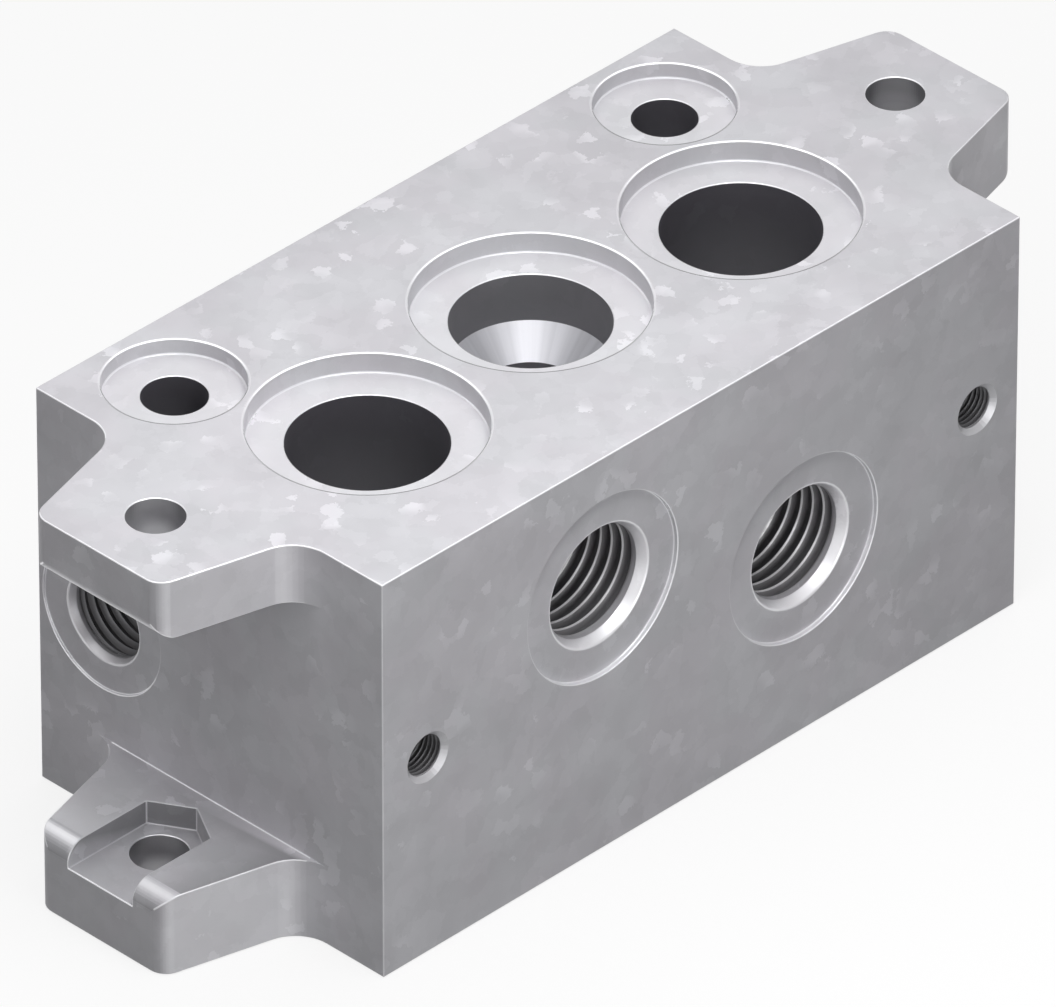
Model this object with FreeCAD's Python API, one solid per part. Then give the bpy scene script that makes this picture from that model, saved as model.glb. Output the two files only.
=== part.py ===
import FreeCAD, Part
import math
import os
from FreeCAD import Placement, Rotation, Vector

# A manifold plate for one directional valve, cast in aluminium and machined in one piece.
# Plates are stacked along Z and clamped through their lugs: five channels run through the stack.
# X runs along the plate, -Y is the face with the two outlet ports, +Y is the face that takes the
# valve, and +Z is the face with the seal counterbores. The origin is the middle of the underside.

# Block
block_length = 82.0
block_width = 44.0
block_height = 43.0

# Lugs, two at each end
lug_reach = 14.0
lug_tip_width = 15.8
lug_taper_deg = 15.0
lug_corner_radius = 2.0
lug_root_radius = 4.0
lug_edge_radius = 2.0
screw_lug_thickness = 6.25
nut_lug_thickness = 8.5
clamp_hole_radius = 2.75
clamp_hole_setback = 7.5
nut_across_flats = 8.2
nut_pocket_depth = 2.5

# Channels through the stack
supply_x = 0.0
supply_y = 0.0
exhaust_spacing = 48.0
exhaust_y = -3.15
main_bore_radius = 7.5
main_seal_radius = 11.1
main_seal_depth = 2.1
supply_waist_radius = 4.75
supply_mouth_depth = 7.15
waist_cone_deg = 45.0
pilot_spacing = 63.0
pilot_y = 13.9
pilot_bore_radius = 3.1
pilot_seal_radius = 6.65
pilot_seal_depth = 1.6
rim_break = 0.25

# Outlet ports, pipe thread G1/4, on the -Y face
outlet_spacing = 26.0
left_outlet_z = 28.8
right_outlet_z = 20.1
outlet_minor_radius = 5.72
outlet_chamfer_radius = 6.6
outlet_chamfer_depth = 1.0
outlet_thread_depth = 11.2
outlet_seat_radius = 9.6
outlet_seat_depth = 0.5

# Pilot ports, pipe thread G1/8, one on each end face
pilot_port_z = 21.5
pilot_port_minor_radius = 4.28
pilot_port_chamfer_radius = 4.9
pilot_port_chamfer_depth = 0.8
pilot_port_thread_depth = 7.0
pilot_port_seat_radius = 7.55
pilot_port_seat_depth = 0.25

# Tapped holes, M5
m5_minor_radius = 2.1
m5_chamfer_radius = 2.6
m5_chamfer_depth = 0.5
m5_thread_depth = 10.0
left_fixing_x = -35.3
left_fixing_z = 21.4
right_fixing_x = 35.7
right_fixing_z = 24.3
drill_tip_deg = 118.0

# Valve face, on +Y
slot_width = 5.0
slot_length = 8.5
slot_pitch = 9.0
slot_row_offset = 4.5
valve_screw_x = 18.0
valve_screw_z = 14.0
valve_pilot_x = 27.0
valve_pilot_radius = 1.5
pilot_drilling_radius = 2.0
passage_overlap = 1.5

half_length = block_length / 2
half_width = block_width / 2
mid_height = block_height / 2
up = Vector(0, 0, 1)
down = Vector(0, 0, -1)
to_back = Vector(0, 1, 0)
to_front = Vector(0, -1, 0)
# Cutters start this far outside the face that they cut
cutter_lead = 1.0


def unit(vector):
    length = vector.Length
    return Vector(vector.x / length, vector.y / length, vector.z / length)


def rounded_outline(corners):
    """A closed flat wire through corners (u, v, radius), with a tangent arc at each radius."""
    points = [Vector(u, v, 0) for u, v, radius in corners]
    entries = []
    for index, (u, v, radius) in enumerate(corners):
        corner = points[index]
        back = unit(points[index - 1] - corner)
        ahead = unit(points[(index + 1) % len(points)] - corner)
        if radius == 0:
            entries.append((corner, None, corner))
            continue
        half_angle = back.getAngle(ahead) / 2
        run = radius / math.tan(half_angle)
        bisector = unit(back + ahead)
        middle = corner + bisector * (radius / math.sin(half_angle) - radius)
        entries.append((corner + back * run, middle, corner + ahead * run))
    edges = []
    for index, (start, middle, end) in enumerate(entries):
        if middle is not None:
            edges.append(Part.Arc(start, middle, end).toShape())
        following = entries[(index + 1) % len(entries)][0]
        if (following - end).Length > 1e-6:
            edges.append(Part.LineSegment(end, following).toShape())
    return Part.Wire(edges)


def prism(corners, low, high):
    """A rounded outline in X and Y, raised from z = low to z = high."""
    face = Part.Face(rounded_outline(corners))
    face.translate(Vector(0, 0, low))
    return face.extrude(Vector(0, 0, high - low))


def turned(profile, mouth, inward):
    """A body of revolution from (depth, radius) pairs, measured inward from the mouth."""
    points = [Vector(radius, 0, depth) for depth, radius in profile]
    points.append(Vector(0, 0, profile[-1][0]))
    points.append(Vector(0, 0, profile[0][0]))
    outline = [points[0]]
    for point in points[1:]:
        if (point - outline[-1]).Length > 1e-6:
            outline.append(point)
    outline.append(outline[0])
    solid = Part.Face(Part.makePolygon(outline)).revolve(Vector(), up, 360)
    solid.Placement = Placement(mouth, Rotation(up, inward))
    return solid


def tapped_profile(minor_radius, chamfer_radius, chamfer_depth, depth, floor):
    """A chamfered, drilled hole that starts at the depth of its seat, with a drill's tip."""
    tip = minor_radius / math.tan(math.radians(drill_tip_deg / 2))
    return [
        (floor, chamfer_radius),
        (floor + chamfer_depth, minor_radius),
        (floor + depth, minor_radius),
        (floor + depth + tip, 0),
    ]


# Lugs

def lug_plan():
    """The lug seen along Z: u points outward from the end face, v across it."""
    tip = lug_tip_width / 2
    root = tip + lug_reach * math.tan(math.radians(lug_taper_deg))
    side = root + 2 * lug_root_radius
    inside = -lug_root_radius
    return [
        (inside, -side, 0),
        (0, -side, 0),
        (0, -root, lug_root_radius),
        (lug_reach, -tip, lug_corner_radius),
        (lug_reach, tip, lug_corner_radius),
        (0, root, lug_root_radius),
        (0, side, 0),
        (inside, side, 0),
    ]


def lug(thickness):
    """A lug that grows from z = 0, with its tip edge rounded on the side away from z = 0."""
    slab = prism(lug_plan(), 0, thickness)
    inside = -lug_root_radius
    side_view = [
        (inside, 0, 0),
        (lug_reach, 0, 0),
        (lug_reach, thickness, lug_edge_radius),
        (inside, thickness, 0),
    ]
    keep = prism(side_view, -block_width / 2, block_width / 2)
    keep.rotate(Vector(), Vector(1, 0, 0), 90)
    return slab.common(keep)


def clamp_hole():
    depth = block_height
    return Part.makeCylinder(clamp_hole_radius, depth, Vector(lug_reach - clamp_hole_setback, 0, -depth / 2))


def nut_pocket():
    """A hexagon round the clamp hole, open towards the lug's tip so that the nut slides in."""
    centre = lug_reach - clamp_hole_setback
    flat = nut_across_flats / 2
    corner = flat / math.cos(math.radians(30))
    shoulder = flat * math.tan(math.radians(30))
    outline = [
        (centre - corner, 0, 0),
        (centre - shoulder, -flat, 0),
        (lug_reach + cutter_lead, -flat, 0),
        (lug_reach + cutter_lead, flat, 0),
        (centre - shoulder, flat, 0),
    ]
    floor = nut_lug_thickness - nut_pocket_depth
    return prism(outline, floor, nut_lug_thickness + cutter_lead)


def screw_lug():
    return lug(screw_lug_thickness).cut(clamp_hole())


def nut_lug():
    return lug(nut_lug_thickness).cut([clamp_hole(), nut_pocket()])


def end_lugs():
    """The pair at the -X end: the nut lug flush with the underside, the screw lug with the top."""
    lower = nut_lug()
    lower.rotate(Vector(), up, 180)
    lower.translate(Vector(-half_length, 0, 0))
    upper = screw_lug()
    upper.rotate(Vector(), Vector(0, 1, 0), 180)
    upper.translate(Vector(-half_length, 0, block_height))
    return [lower, upper]


def all_lugs():
    """The +X end carries the same pair, turned over about the plate's cross axis."""
    lugs = end_lugs()
    for piece in end_lugs():
        piece.rotate(Vector(0, 0, mid_height), Vector(0, 1, 0), 180)
        lugs.append(piece)
    return lugs


# Channels

def sealed_mouth(seal_radius, seal_depth, bore_radius):
    """A counterbore for a seal ring and the start of the bore below it, both with broken rims."""
    return [
        (-cutter_lead, seal_radius + rim_break),
        (0, seal_radius + rim_break),
        (rim_break, seal_radius),
        (seal_depth, seal_radius),
        (seal_depth, bore_radius + rim_break),
        (seal_depth + rim_break, bore_radius),
    ]


def plain_mouth(bore_radius):
    """The bore's far end, where the next plate's seal bears on the flat underside."""
    return [
        (block_height - rim_break, bore_radius),
        (block_height, bore_radius + rim_break),
        (block_height + cutter_lead, bore_radius + rim_break),
    ]


def straight_channel(x, y, bore_radius, seal_radius, seal_depth):
    profile = sealed_mouth(seal_radius, seal_depth, bore_radius) + plain_mouth(bore_radius)
    return turned(profile, Vector(x, y, block_height), down)


def supply_channel():
    """The middle channel narrows between two cones, to leave room for the outlet passages."""
    cone = (main_bore_radius - supply_waist_radius) / math.tan(math.radians(waist_cone_deg))
    waist = [
        (supply_mouth_depth, main_bore_radius),
        (supply_mouth_depth + cone, supply_waist_radius),
        (block_height - supply_mouth_depth - cone, supply_waist_radius),
        (block_height - supply_mouth_depth, main_bore_radius),
    ]
    mouth = sealed_mouth(main_seal_radius, main_seal_depth, main_bore_radius)
    profile = mouth + waist + plain_mouth(main_bore_radius)
    return turned(profile, Vector(supply_x, supply_y, block_height), down)


def channels():
    cutters = [supply_channel()]
    for side in (-1, 1):
        x = side * exhaust_spacing / 2
        cutters.append(straight_channel(x, exhaust_y, main_bore_radius, main_seal_radius, main_seal_depth))
        x = side * pilot_spacing / 2
        cutters.append(straight_channel(x, pilot_y, pilot_bore_radius, pilot_seal_radius, pilot_seal_depth))
    return cutters


# Ports

def outlet_port(x, z):
    seat = [(-cutter_lead, outlet_seat_radius), (outlet_seat_depth, outlet_seat_radius)]
    hole = tapped_profile(outlet_minor_radius, outlet_chamfer_radius, outlet_chamfer_depth,
                          outlet_thread_depth, outlet_seat_depth)
    return turned(seat + hole, Vector(x, -half_width, z), to_back)


def pilot_port(side):
    """The end port breaks into its pilot channel, and a drilling goes on to the valve's pilot."""
    inward = Vector(-side, 0, 0)
    mouth = Vector(side * half_length, pilot_y, pilot_port_z)
    drilling_end = half_length - valve_pilot_x + valve_pilot_radius
    floor = pilot_port_seat_depth
    profile = [
        (-cutter_lead, pilot_port_seat_radius),
        (floor, pilot_port_seat_radius),
        (floor, pilot_port_chamfer_radius),
        (floor + pilot_port_chamfer_depth, pilot_port_minor_radius),
        (floor + pilot_port_thread_depth, pilot_port_minor_radius),
        (floor + pilot_port_thread_depth, pilot_drilling_radius),
        (drilling_end, pilot_drilling_radius),
    ]
    return turned(profile, mouth, inward)


def m5_hole(mouth, inward):
    profile = tapped_profile(m5_minor_radius, m5_chamfer_radius, m5_chamfer_depth, m5_thread_depth, 0)
    profile.insert(0, (-cutter_lead, m5_chamfer_radius))
    return turned(profile, mouth, inward)


def ports():
    cutters = [
        outlet_port(-outlet_spacing / 2, left_outlet_z),
        outlet_port(outlet_spacing / 2, right_outlet_z),
        m5_hole(Vector(left_fixing_x, -half_width, left_fixing_z), to_back),
        m5_hole(Vector(right_fixing_x, -half_width, right_fixing_z), to_back),
    ]
    for side in (-1, 1):
        cutters.append(pilot_port(side))
    return cutters


# Valve face

def valve_slot(x, z, inner_y):
    """An obround passage from the valve face to y = inner_y, long across the plate's height."""
    half_slot = slot_width / 2
    half_long = slot_length / 2
    ends = half_slot - 1e-3
    outline = [
        (x - half_slot, z - half_long, ends),
        (x + half_slot, z - half_long, ends),
        (x + half_slot, z + half_long, ends),
        (x - half_slot, z + half_long, ends),
    ]
    slot = prism(outline, -half_width - cutter_lead, -inner_y)
    slot.rotate(Vector(), Vector(1, 0, 0), 90)
    return slot


def valve_face():
    """The upper row leads to the outlet ports, the lower row to the supply and the exhausts."""
    upper_row = mid_height + slot_row_offset
    lower_row = mid_height - slot_row_offset
    outlet_floor = -half_width + outlet_seat_depth + outlet_thread_depth
    cutters = [valve_slot(supply_x, lower_row, supply_y)]
    for side in (-1, 1):
        cutters.append(valve_slot(side * slot_pitch, upper_row, outlet_floor - passage_overlap))
        cutters.append(valve_slot(side * 2 * slot_pitch, lower_row, exhaust_y))
        pilot_length = half_width - pilot_y + cutter_lead
        pilot_base = Vector(side * valve_pilot_x, pilot_y, pilot_port_z)
        cutters.append(Part.makeCylinder(valve_pilot_radius, pilot_length, pilot_base, to_back))
        for offset in (-valve_screw_z, valve_screw_z):
            mouth = Vector(side * valve_screw_x, half_width, mid_height + offset)
            cutters.append(m5_hole(mouth, to_front))
    return cutters


def manifold_block():
    block = Part.makeBox(block_length, block_width, block_height, Vector(-half_length, -half_width, 0))
    casting = block.fuse(all_lugs()).removeSplitter()
    machined = casting.cut(channels() + ports() + valve_face())
    return machined.removeSplitter()


os.makedirs("parts", exist_ok=True)
body = manifold_block()
if len(body.Solids) != 1:
    raise ValueError("the plate must be one solid")
body.Solids[0].exportStep("parts/manifold_block.step")
print("manifold_block", body.isValid(), round(body.Volume, 1), body.BoundBox)
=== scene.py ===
import math
from collections import namedtuple
import bmesh
import bpy
from mathutils import Matrix, Vector


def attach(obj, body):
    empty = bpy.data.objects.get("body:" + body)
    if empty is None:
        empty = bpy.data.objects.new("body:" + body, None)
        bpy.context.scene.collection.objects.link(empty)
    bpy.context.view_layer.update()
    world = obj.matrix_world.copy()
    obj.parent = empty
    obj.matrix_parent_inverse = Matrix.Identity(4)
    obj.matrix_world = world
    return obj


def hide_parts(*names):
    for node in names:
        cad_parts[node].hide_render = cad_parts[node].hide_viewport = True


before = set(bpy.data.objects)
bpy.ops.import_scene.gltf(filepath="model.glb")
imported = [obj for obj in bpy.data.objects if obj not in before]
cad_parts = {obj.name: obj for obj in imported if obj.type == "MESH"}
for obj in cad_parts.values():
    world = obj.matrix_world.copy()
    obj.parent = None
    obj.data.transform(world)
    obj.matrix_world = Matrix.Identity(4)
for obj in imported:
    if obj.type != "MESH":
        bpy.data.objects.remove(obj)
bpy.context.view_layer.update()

# The plate is built anew in mesh code from the same sizes as the solid, in millimetres, with
# rounded rims, cut threads and its finishes. X runs along the plate, -Y is the face with the two
# outlet ports, +Y takes the valve, and +Z carries the seal counterbores.

# Block and lugs
half_length = 41.0
half_width = 22.0
height = 43.0
lug_reach = 14.0
lug_tip_half = 7.9
lug_taper = math.radians(15.0)
lug_corner_radius = 2.0
lug_root_radius = 4.0
lug_edge_radius = 2.0
screw_lug_thickness = 6.25
nut_lug_thickness = 8.5
clamp_hole_radius = 2.75
clamp_hole_reach = 6.5
nut_half_flats = 4.1
nut_pocket_depth = 2.5
nut_pocket_level = nut_lug_thickness - nut_pocket_depth
lug_tip_x = half_length + lug_reach

# Channels through the stack
exhaust_x = 24.0
exhaust_y = -3.15
main_bore_radius = 7.5
main_seal_radius = 11.1
main_seal_depth = 2.1
waist_radius = 4.75
mouth_depth = 7.15
pilot_x = 31.5
pilot_y = 13.9
pilot_bore_radius = 3.1
pilot_seal_radius = 6.65
pilot_seal_depth = 1.6

# Ports and fixings
outlet_x = 13.0
left_outlet_z = 28.8
right_outlet_z = 20.1
outlet_seat_radius = 9.6
outlet_seat_depth = 0.5
pilot_port_z = 21.5
pilot_port_seat_radius = 7.55
pilot_port_seat_depth = 0.25
left_fixing_x = -35.3
left_fixing_z = 21.4
right_fixing_x = 35.7
right_fixing_z = 24.3

# Valve face
slot_half_width = 2.5
slot_half_length = 4.25
slot_pitch = 9.0
slot_row_offset = 4.5
valve_screw_x = 18.0
valve_screw_z = 14.0
valve_pilot_x = 27.0
valve_pilot_radius = 1.5
drilling_radius = 2.0
passage_overlap = 1.5

# Threads, with pitches measured in the photograph; both depths count from the seat. The ports'
# chamfers are a little smaller than the solid's, as their rounded rims look in the photograph.
Thread = namedtuple("Thread", "pitch minor groove chamfer_radius chamfer_depth thread_depth hole_depth")
G_QUARTER = Thread(pitch=1.375, minor=5.72, groove=0.6, chamfer_radius=6.27, chamfer_depth=1.0,
                   thread_depth=11.2, hole_depth=11.2)
G_EIGHTH = Thread(pitch=1.05, minor=4.28, groove=0.45, chamfer_radius=4.6, chamfer_depth=0.8,
                  thread_depth=7.0, hole_depth=7.0)
M5 = Thread(pitch=0.5, minor=2.1, groove=0.3, chamfer_radius=2.6, chamfer_depth=0.5,
            thread_depth=6.5, hole_depth=10.0)

# How deep each thread has a crest, at the side of its hole where its helix is counted from
left_outlet_crest = 2.60
right_outlet_crest = 2.46
pilot_port_crest = 2.1
left_fixing_crest = 0.84
right_fixing_crest = 0.90
valve_screw_crest = 0.9

# The thread's shape, in shares of the pitch: the crest's half width, the flank, where the groove starts
# to open and over which length, and the plainly drilled stretch before it
crest_share = 0.08
flank_share = 0.55
groove_start = 0.25
groove_run_in = 0.6
plain_share = 0.55
# Beyond which share of the groove's depth the wall takes the darker groove finish, a painted shade
groove_threshold = 0.25
coarse_pitch = 1.2
coarse_rows = 10
fine_rows = 8

# Roundings and cutters
edge_radius = 0.1
seal_rim_radius = 0.14
seal_rim_spread = 1.8
corner_radius = 0.15
rim_radius = 0.1
fine_radius = 0.1
chamfer_blend = 0.16
lead = 1.0
drill_half_angle = math.radians(59.0)

# Facets round the outlet ports and main channels, the pilot channels and ports, the clamp holes, the
# screw holes and the valve's pilots
main_segments = 96
pilot_segments = 72
clamp_segments = 64
screw_segments = 36
small_segments = 32

# Mesh work
sharp_angle = math.radians(33.0)
flat_angle = math.radians(0.3)
bevel_angle = math.radians(25.0)
arc_step = math.radians(7.5)
weld = 1e-4
cusp_steps = 4
shortest_root_edge = 5.0
corner_pull = 0.98
millimetre = 0.001

# Finishes, by their place in the list of materials
# The groove finish is a darker copy of the thread's, a painted shade in the thread's grooves
CAST, MACHINED, BORE, THREAD, EDGE, SUPPLY, CHAMFER, DRILLED, CONE, GROOVE_SHADE = range(10)


# Small tools

def arc(centre, radius, start, turn):
    """Points on an arc from the start angle on, in steps of about arc_step."""
    steps = max(2, round(abs(turn) / arc_step))
    angles = [start + turn * step / steps for step in range(steps + 1)]
    return [(centre[0] + radius * math.cos(a), centre[1] + radius * math.sin(a)) for a in angles]


def smooth(share):
    """Eases a share, kept between 0 and 1, in and out."""
    share = min(1.0, max(0.0, share))
    return share * share * (3 - 2 * share)


def ramp(value, low, high):
    """A smooth rise from 0 at low to 1 at high, or a fall where low is the larger one."""
    return smooth((value - low) / (high - low))


def link(name, mesh_data):
    """An object in the scene, with all finishes as its material slots."""
    made = bpy.data.objects.new(name, mesh_data)
    bpy.context.scene.collection.objects.link(made)
    for finish in finishes:
        made.data.materials.append(finish)
    return made


def from_bmesh(name, bm):
    """An object from a bmesh whose corners are snapped and welded."""
    for vert in bm.verts:
        vert.co = [round(value, 4) for value in vert.co]
    bmesh.ops.remove_doubles(bm, verts=bm.verts, dist=weld)
    bmesh.ops.recalc_face_normals(bm, faces=bm.faces)
    mesh_data = bpy.data.meshes.new(name)
    bm.to_mesh(mesh_data)
    bm.free()
    return link(name, mesh_data)


def prism(name, outline, low, high, matrix=Matrix.Identity(4)):
    """A closed prism on an outline in its own u and v, from w = low to w = high, in the cast finish."""
    bm = bmesh.new()
    bottom = [bm.verts.new((u, v, low)) for u, v in outline]
    top = [bm.verts.new((u, v, high)) for u, v in outline]
    bm.faces.new(bottom)
    bm.faces.new(top)
    for index in range(len(outline)):
        following = (index + 1) % len(outline)
        bm.faces.new((bottom[index], bottom[following], top[following], top[index]))
    for face in bm.faces:
        face.material_index = CAST
    bm.transform(matrix)
    return from_bmesh(name, bm)


def evaluated(body):
    """A new mesh of the body with its modifiers applied."""
    bpy.context.view_layer.update()
    depsgraph = bpy.context.evaluated_depsgraph_get()
    shown = body.evaluated_get(depsgraph)
    return bpy.data.meshes.new_from_object(shown, preserve_all_data_layers=True, depsgraph=depsgraph)


def combine(body, others, operation):
    """Adds the other pieces to the body or cuts them away one by one, and removes them."""
    for other in others:
        step = body.modifiers.new("step", "BOOLEAN")
        step.operation = operation
        step.solver = "EXACT"
        step.material_mode = "INDEX"
        step.object = other
        before = body.data
        body.data = evaluated(body)
        body.modifiers.clear()
        spent = other.data
        bpy.data.objects.remove(other)
        bpy.data.meshes.remove(spent)
        bpy.data.meshes.remove(before)
    return body


def axes(mouth, inward):
    """The place of a hole: w runs inward from its mouth, u and v lie across it."""
    w = Vector(inward)
    u = Vector((0, 0, 1)).cross(w) if abs(w.z) < 0.5 else Vector((1, 0, 0))
    u.normalize()
    v = w.cross(u)
    placed = Matrix((u, v, w)).transposed().to_4x4()
    placed.translation = Vector(mouth)
    return placed


# Lugs

def lug_plan():
    """The lug seen along Z: u points outward from the end face, v across it. It starts inside the
    block, and its root arcs run on a little past the end face."""
    root_half = lug_tip_half + lug_reach * math.tan(lug_taper)
    corner_turn = math.pi / 2 - lug_taper
    run = lug_corner_radius * math.tan(corner_turn / 2)
    corner = arc((lug_reach - lug_corner_radius, lug_tip_half - run), lug_corner_radius, 0, corner_turn)
    root_run = lug_root_radius * math.tan(corner_turn / 2)
    root_centre = (lug_root_radius, root_half + root_run)
    root = arc(root_centre, lug_root_radius, -math.pi / 2 - lug_taper, -corner_turn)
    beyond = (2 * root[-1][0] - root[-2][0], 2 * root[-1][1] - root[-2][1])
    half = corner + root + [beyond, (-lug_root_radius, beyond[1])]
    return half + [(u, -v) for u, v in reversed(half)]


def tip_cutter(thickness, matrix):
    """What is cut from the lug's tip, on the side away from w = 0, to round that edge."""
    centre = (lug_reach - lug_edge_radius, thickness - lug_edge_radius)
    curve = arc(centre, lug_edge_radius, 0, math.pi / 2)
    before = (2 * curve[0][0] - curve[1][0], 2 * curve[0][1] - curve[1][1])
    after = (2 * curve[-1][0] - curve[-2][0], 2 * curve[-1][1] - curve[-2][1])
    outside = lug_reach + lead
    above = thickness + lead
    outline = [before] + curve[1:-1] + [after, (after[0], above), (outside, above), (outside, before[1])]
    return prism("tip", outline, -half_width, half_width, matrix @ Matrix.Rotation(math.pi / 2, 4, "X"))


def pocket_cutter(matrix):
    """Half a hexagon round the clamp hole, open towards the lug's tip."""
    corner = nut_half_flats / math.cos(math.radians(30))
    shoulder = nut_half_flats * math.tan(math.radians(30))
    outline = [
        (clamp_hole_reach - corner, 0),
        (clamp_hole_reach - shoulder, -nut_half_flats),
        (lug_reach + lead, -nut_half_flats),
        (lug_reach + lead, nut_half_flats),
        (clamp_hole_reach - shoulder, nut_half_flats),
    ]
    return prism("pocket", outline, nut_pocket_level, nut_lug_thickness + lead, matrix)


def lug_thickness(pocket):
    return nut_lug_thickness if pocket else screw_lug_thickness


def lug(matrix, pocket):
    thickness = lug_thickness(pocket)
    body = prism("lug", lug_plan(), 0, thickness, matrix)
    cutters = [tip_cutter(thickness, matrix)]
    if pocket:
        cutters.append(pocket_cutter(matrix))
    return combine(body, cutters, "DIFFERENCE")


def lug_places():
    """Where each lug stands, and whether it is the one with the nut pocket."""
    left = Matrix.Translation((-half_length, 0, 0)) @ Matrix.Rotation(math.pi, 4, "Z")
    over = Matrix.Translation((0, 0, height / 2)) @ Matrix.Rotation(math.pi, 4, "Y")
    over = over @ Matrix.Translation((0, 0, -height / 2))
    upper_left = Matrix.Translation((-half_length, 0, height)) @ Matrix.Rotation(math.pi, 4, "Y")
    return [(left, True), (upper_left, False), (over @ left, True), (over @ upper_left, False)]


# The casting

def merge_flats(body):
    """Welds the body and joins the flat faces that a union has split."""
    bm = bmesh.new()
    bm.from_mesh(body.data)
    bmesh.ops.remove_doubles(bm, verts=bm.verts, dist=weld)
    bmesh.ops.dissolve_limit(bm, angle_limit=flat_angle, verts=bm.verts, edges=bm.edges)
    bm.to_mesh(body.data)
    bm.free()


def casting():
    """The block with its four lugs, before any hole."""
    outline = [
        (-half_length, -half_width),
        (half_length, -half_width),
        (half_length, half_width),
        (-half_length, half_width),
    ]
    body = prism("manifold_plate", outline, 0, height)
    for matrix, pocket in lug_places():
        combine(body, [lug(matrix, pocket)], "UNION")
        merge_flats(body)
    return body


def nearest(verts, point):
    return min(verts, key=lambda vert: (vert.co - point).length)


def edge_along_y(vert):
    """The long edge that leaves this corner straight along Y."""
    for edge in vert.link_edges:
        along = edge.other_vert(vert).co - vert.co
        if abs(along.y) > shortest_root_edge and abs(along.x) < weld and abs(along.z) < weld:
            return edge
    return None


def close_cusps(bm):
    """Where a lug's root runs out into the end face, the edges on both sides of the sliver stay sharp.
    A short edge across the sliver marks where the rounding ends. Returns the sharp edges."""
    plan = [point for point in lug_plan() if point[0] > -weld]
    tangent = max(plan, key=lambda point: point[1])
    inward = sorted((point for point in plan if point[1] > 0), key=lambda point: -point[1])
    stop = inward[cusp_steps]
    kept_sharp = set()
    for matrix, pocket in lug_places():
        level = lug_thickness(pocket)
        for mirror in (-1, 1):
            cusp = nearest(bm.verts, matrix @ Vector((0, mirror * tangent[1], level)))
            outer = nearest(bm.verts, matrix @ Vector((stop[0], mirror * stop[1], level)))
            root = matrix @ Vector((0, mirror * stop[1], level))
            line = edge_along_y(cusp)
            fraction = (root - cusp.co).length / line.calc_length()
            split = bmesh.utils.edge_split(line, cusp, fraction)[1]
            bmesh.ops.connect_verts(bm, verts=[split, outer])
            reach = (outer.co - cusp.co).length + weld
            for edge in bm.edges:
                middle = (edge.verts[0].co + edge.verts[1].co) / 2
                if abs(middle.z - cusp.co.z) < weld and (middle - cusp.co).length < reach:
                    kept_sharp.add(edge)
    return kept_sharp


def round_edges(body):
    """Breaks the casting's sharp edges with a small round, before any hole is cut."""
    bm = bmesh.new()
    bm.from_mesh(body.data)
    kept_sharp = close_cusps(bm)
    edges = [edge for edge in bm.edges
             if edge not in kept_sharp and edge.calc_face_angle(0) > bevel_angle]
    bmesh.ops.bevel(bm, geom=edges, offset=edge_radius, offset_type="OFFSET", segments=3, profile=0.5,
                    affect="EDGES", clamp_overlap=False, material=EDGE, miter_outer="SHARP",
                    miter_inner="SHARP")
    bmesh.ops.remove_doubles(bm, verts=bm.verts, dist=weld)
    bm.to_mesh(body.data)
    bm.free()


# Turned cutters: rings of (depth, radius, finish of the strip that leads to the next ring)

def rim(depth, radius, round_radius, spread=1.0, steps=3):
    """A rounded rim where a wall starts at a face at that depth, crossing the face at a slant.
    With a spread above 1 it reaches further out than down."""
    points = []
    for step in range(1, steps + 1):
        angle = math.pi / 2 * step / steps
        points.append((depth + round_radius * (1 - math.cos(angle)),
                       radius + round_radius * spread * (1 - math.sin(angle))))
    start = (depth, radius + round_radius * spread)
    points.insert(0, (2 * start[0] - points[0][0], 2 * start[1] - points[0][1]))
    return [(d, r, EDGE) for d, r in points]


def mouth(depth, radius, round_radius, spread=1.0):
    """The same rim at the outer face, with the cutter's lead outside it."""
    points = rim(depth, radius, round_radius, spread)
    return [(depth - lead, points[0][1], EDGE)] + points


def mirrored(rings, depth):
    """The rings of a mouth turned over, for a far end at that depth."""
    return [(depth - d, r, finish) for d, r, finish in reversed(rings)]


def step_floor(depth, radius, round_radius, steps=2):
    """The small fillet between a wall and a floor at that depth."""
    rings = []
    for step in range(steps + 1):
        angle = math.pi / 2 * step / steps
        rings.append((depth - round_radius * (1 - math.sin(angle)),
                      radius - round_radius * (1 - math.cos(angle)), EDGE))
    return rings


def inner_rim(depth, radius, round_radius, steps=3):
    """A rounded rim below a floor that the cutter itself makes."""
    rings = []
    for step in range(steps + 1):
        angle = math.pi / 2 * step / steps
        rings.append((depth + round_radius * (1 - math.cos(angle)),
                      radius + round_radius * (1 - math.sin(angle)), EDGE))
    return rings


def painted(rings, finish):
    """The same rings, with the last strip in another finish."""
    return rings[:-1] + [(rings[-1][0], rings[-1][1], finish)]


def ring_verts(bm, depth, radius, segments):
    """The corners of one ring, or a single one where the radius is nothing."""
    if radius < weld:
        return [bm.verts.new((0, 0, depth))]
    verts = []
    for index in range(segments):
        angle = math.tau * index / segments
        verts.append(bm.verts.new((radius * math.cos(angle), radius * math.sin(angle), depth)))
    return verts


def strip(bm, first, second, finish):
    """The faces between two rings; either may be a single corner."""
    count = max(len(first), len(second))
    for index in range(count):
        following = (index + 1) % count
        corners = [first[index % len(first)], first[following % len(first)],
                   second[following % len(second)], second[index % len(second)]]
        unique = list(dict.fromkeys(corners))
        face = bm.faces.new(unique)
        face.material_index = finish


def add_rings(bm, rings, segments):
    """Adds the strips between the rings, and returns the first and the last ring's vertices."""
    loops = [ring_verts(bm, depth, radius, segments) for depth, radius, finish in rings]
    for index in range(len(rings) - 1):
        strip(bm, loops[index], loops[index + 1], rings[index][2])
    return loops[0], loops[-1]


def cap(bm, loop, finish):
    if len(loop) > 2:
        face = bm.faces.new(loop)
        face.material_index = finish


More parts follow.
